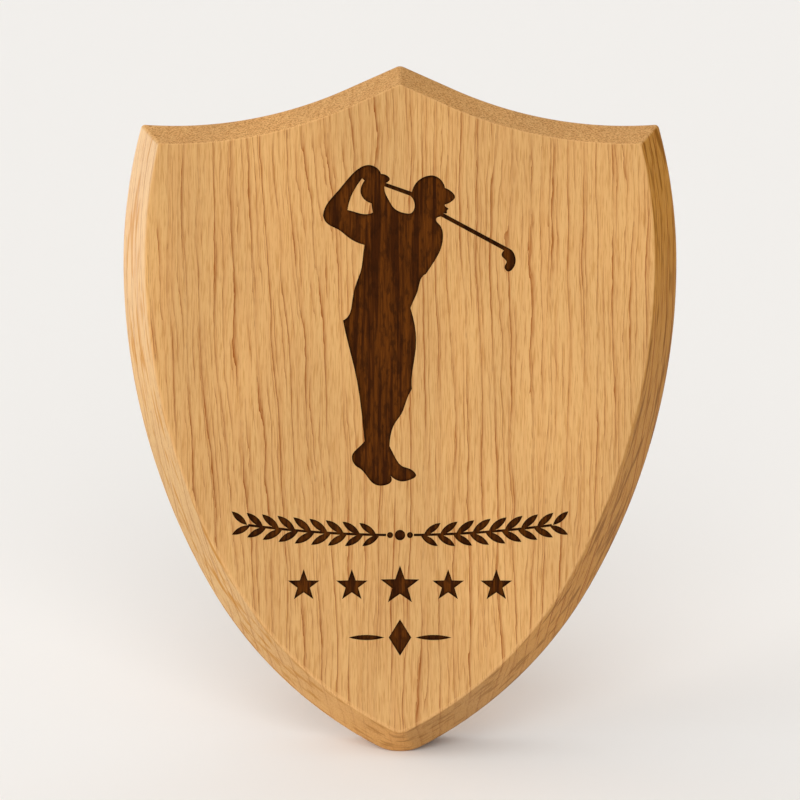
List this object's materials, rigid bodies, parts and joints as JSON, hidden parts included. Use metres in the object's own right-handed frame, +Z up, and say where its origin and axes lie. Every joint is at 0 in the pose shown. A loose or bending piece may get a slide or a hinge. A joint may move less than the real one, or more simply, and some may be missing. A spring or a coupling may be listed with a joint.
{
  "type": "award shield",
  "caption": "Solid oak award shield with a bevelled front, an engraved golfer, a hinged oak easel strut and a keyhole plate for hanging.",
  "frame": {"origin": "middle of the flat on the tip that the shield stands on, at the level of the table", "axes": "+Z up, +X to the right as seen from the front, +Y from the face towards the strut behind"},
  "size_m": [0.202, 0.09, 0.2426],
  "materials": {
    "oak": "clear satin lacquer over sanded oak, with the engraving burnt dark brown",
    "strut_oak": "clear satin lacquer over sanded oak",
    "brass": "folded sheet, lacquered satin",
    "rivet": "polished heads",
    "screws": "turned, slotted"
  },
  "bodies": {
    "shield": {"shield_board": "oak", "hinge_base": "brass", "hinge_base_screws": "screws", "hinge_pin": "rivet", "keyhole_hanger": "brass", "hanger_screws": "screws"},
    "strut_leg": {"strut": "strut_oak", "strut_channel": "brass", "strut_channel_screws": "screws"}
  },
  "joints": [
    {"name": "strut_fold", "type": "hinge", "parent": "shield", "child": "strut_leg", "pos_m": [0, 0.05214, 0.15538], "axis": [-1, 0, 0], "range_deg": [0, 22.5]}
  ]
}
